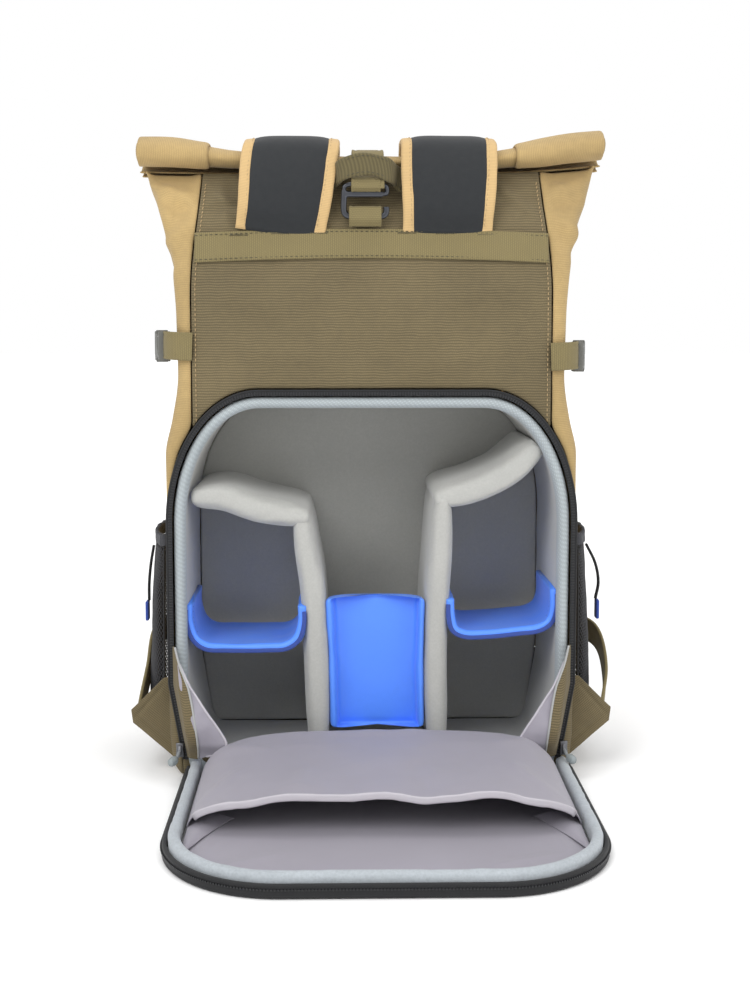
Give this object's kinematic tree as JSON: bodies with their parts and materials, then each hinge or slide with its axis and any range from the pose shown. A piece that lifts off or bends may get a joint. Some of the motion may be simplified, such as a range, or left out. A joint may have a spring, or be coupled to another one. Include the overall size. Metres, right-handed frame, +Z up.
{
  "type": "camera backpack",
  "caption": "Roll-top canvas backpack with a zipped back panel laid open on the floor, a padded divided camera compartment, side pockets and shoulder straps.",
  "frame": {"origin": "on the floor, at the middle of the bag's own base, with the open flap reaching out in front of it", "axes": "+Z up, -Y out of the open back towards the flap, +X to the right when looking into the open back"},
  "size_m": [0.3426, 0.4039, 0.4462],
  "materials": {
    "olive_canvas": "olive ribbed canvas",
    "tan_canvas": "tan canvas",
    "olive_webbing": "woven webbing",
    "grey_lining": "brushed padded lining",
    "mauve_lining": "smooth nylon lining",
    "grey_binding": "soft knitted binding",
    "blue_nylon": "satin nylon",
    "black_tape": "zip tape and elastic",
    "black_mesh": "open stretch mesh",
    "dark_neoprene": "matt padded face cloth",
    "grey_plastic": "moulded grey plastic",
    "hook_metal": "gunmetal",
    "zip_metal": "dark metal"
  },
  "bodies": {
    "root": {"back_panel": "olive_canvas", "side_panel_left": "tan_canvas", "side_panel_right": "tan_canvas", "front_panel": "tan_canvas", "base_boot": "olive_canvas", "roll_top": "tan_canvas", "compartment_liner": "grey_lining", "opening_zip": "black_tape", "divider_upright_left": "grey_lining", "divider_upright_right": "grey_lining", "divider_shelf_left": "grey_lining", "divider_shelf_right": "grey_lining", "pad_left": "blue_nylon", "pad_right": "blue_nylon", "pad_centre": "blue_nylon", "flap_panel": "mauve_lining", "flap_rim": "grey_binding", "flap_zip": "black_tape", "flap_pocket": "mauve_lining", "gusset_left": "mauve_lining", "gusset_right": "mauve_lining", "side_pocket_left": "black_mesh", "side_pocket_right": "black_mesh", "pocket_hem_left": "black_tape", "pocket_hem_right": "black_tape", "pocket_pull_left": "black_tape", "pocket_pull_right": "black_tape", "pull_tab_left": "blue_nylon", "pull_tab_right": "blue_nylon", "wing_left": "olive_canvas", "wing_right": "olive_canvas", "back_band": "olive_webbing", "shoulder_strap_left": "dark_neoprene", "shoulder_strap_right": "dark_neoprene", "strap_binding_left_inner": "tan_canvas", "strap_binding_left_outer": "tan_canvas", "strap_binding_right_inner": "tan_canvas", "strap_binding_right_outer": "tan_canvas", "adjuster_left": "grey_plastic", "adjuster_right": "grey_plastic", "strap_webbing_left": "olive_webbing", "strap_webbing_right": "olive_webbing", "closing_hook": "hook_metal", "anchor_webbing": "olive_webbing", "closing_strap": "olive_webbing", "haul_handle": "olive_webbing", "compression_strap_back_left": "olive_webbing", "compression_strap_back_right": "olive_webbing", "compression_strap_front_left": "olive_webbing", "compression_strap_front_right": "olive_webbing", "buckle_socket_left": "grey_plastic", "buckle_socket_right": "grey_plastic", "buckle_plug_left": "grey_plastic", "buckle_plug_right": "grey_plastic", "zip_slider_left": "zip_metal", "zip_slider_right": "zip_metal"}
  },
  "joints": []
}
